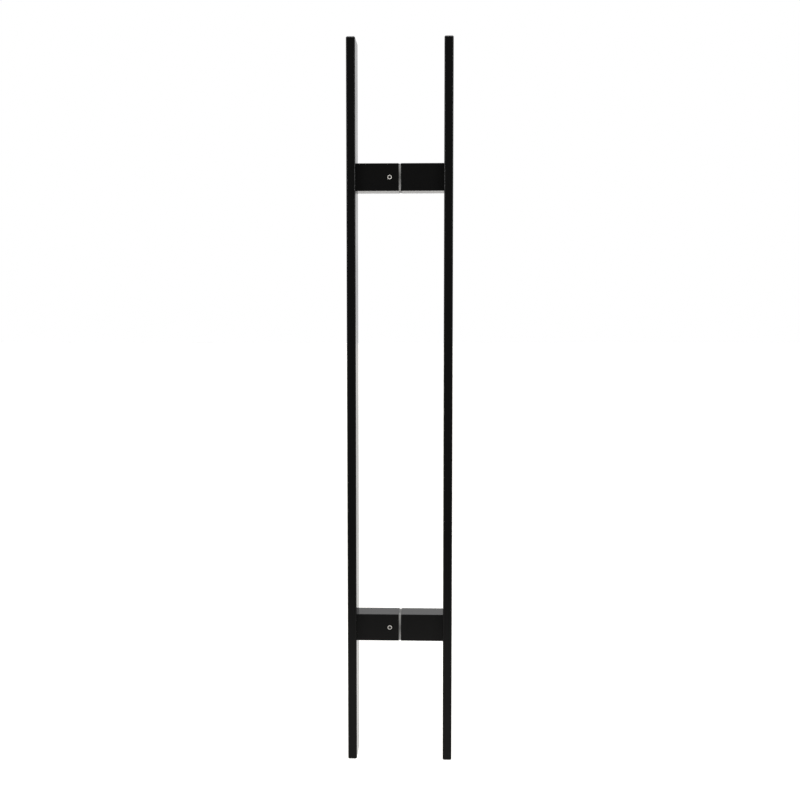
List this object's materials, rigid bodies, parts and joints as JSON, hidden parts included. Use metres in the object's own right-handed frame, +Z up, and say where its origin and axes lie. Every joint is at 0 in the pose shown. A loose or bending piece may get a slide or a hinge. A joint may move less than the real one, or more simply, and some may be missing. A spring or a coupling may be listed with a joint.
{
  "type": "ladder pull handle",
  "caption": "Back-to-back ladder pull handle for a door: flat black bars on square posts, clamped through the door by concealed bolts and grub screws.",
  "frame": {"origin": "middle of the pair: half-way between the posts, where the pads of the two handles meet on the door's mid-plane", "axes": "+Z up along the bars, +X along the door's normal towards the plain handle, -Y the side with the grub screws"},
  "size_m": [0.1164, 0.04, 0.8],
  "materials": {
    "black_coat": "satin black powder coat on solid steel",
    "screw_steel": "bright stainless steel",
    "fixing_steel": "turned and zinc plated",
    "door_pad": "smooth translucent grey plastic"
  },
  "bodies": {
    "root": {"left_bar": "black_coat", "left_post_upper": "black_coat", "left_pad_upper": "door_pad", "left_post_stud_upper": "fixing_steel", "left_post_lower": "black_coat", "left_pad_lower": "door_pad", "left_post_stud_lower": "fixing_steel", "right_bar": "black_coat", "right_post_upper": "black_coat", "right_pad_upper": "door_pad", "right_post_stud_upper": "fixing_steel", "right_post_lower": "black_coat", "right_pad_lower": "door_pad", "right_post_stud_lower": "fixing_steel", "clamp_stub_upper": "fixing_steel", "through_bolt_upper": "fixing_steel", "grub_screw_upper": "screw_steel", "clamp_stub_lower": "fixing_steel", "through_bolt_lower": "fixing_steel", "grub_screw_lower": "screw_steel"}
  },
  "joints": []
}
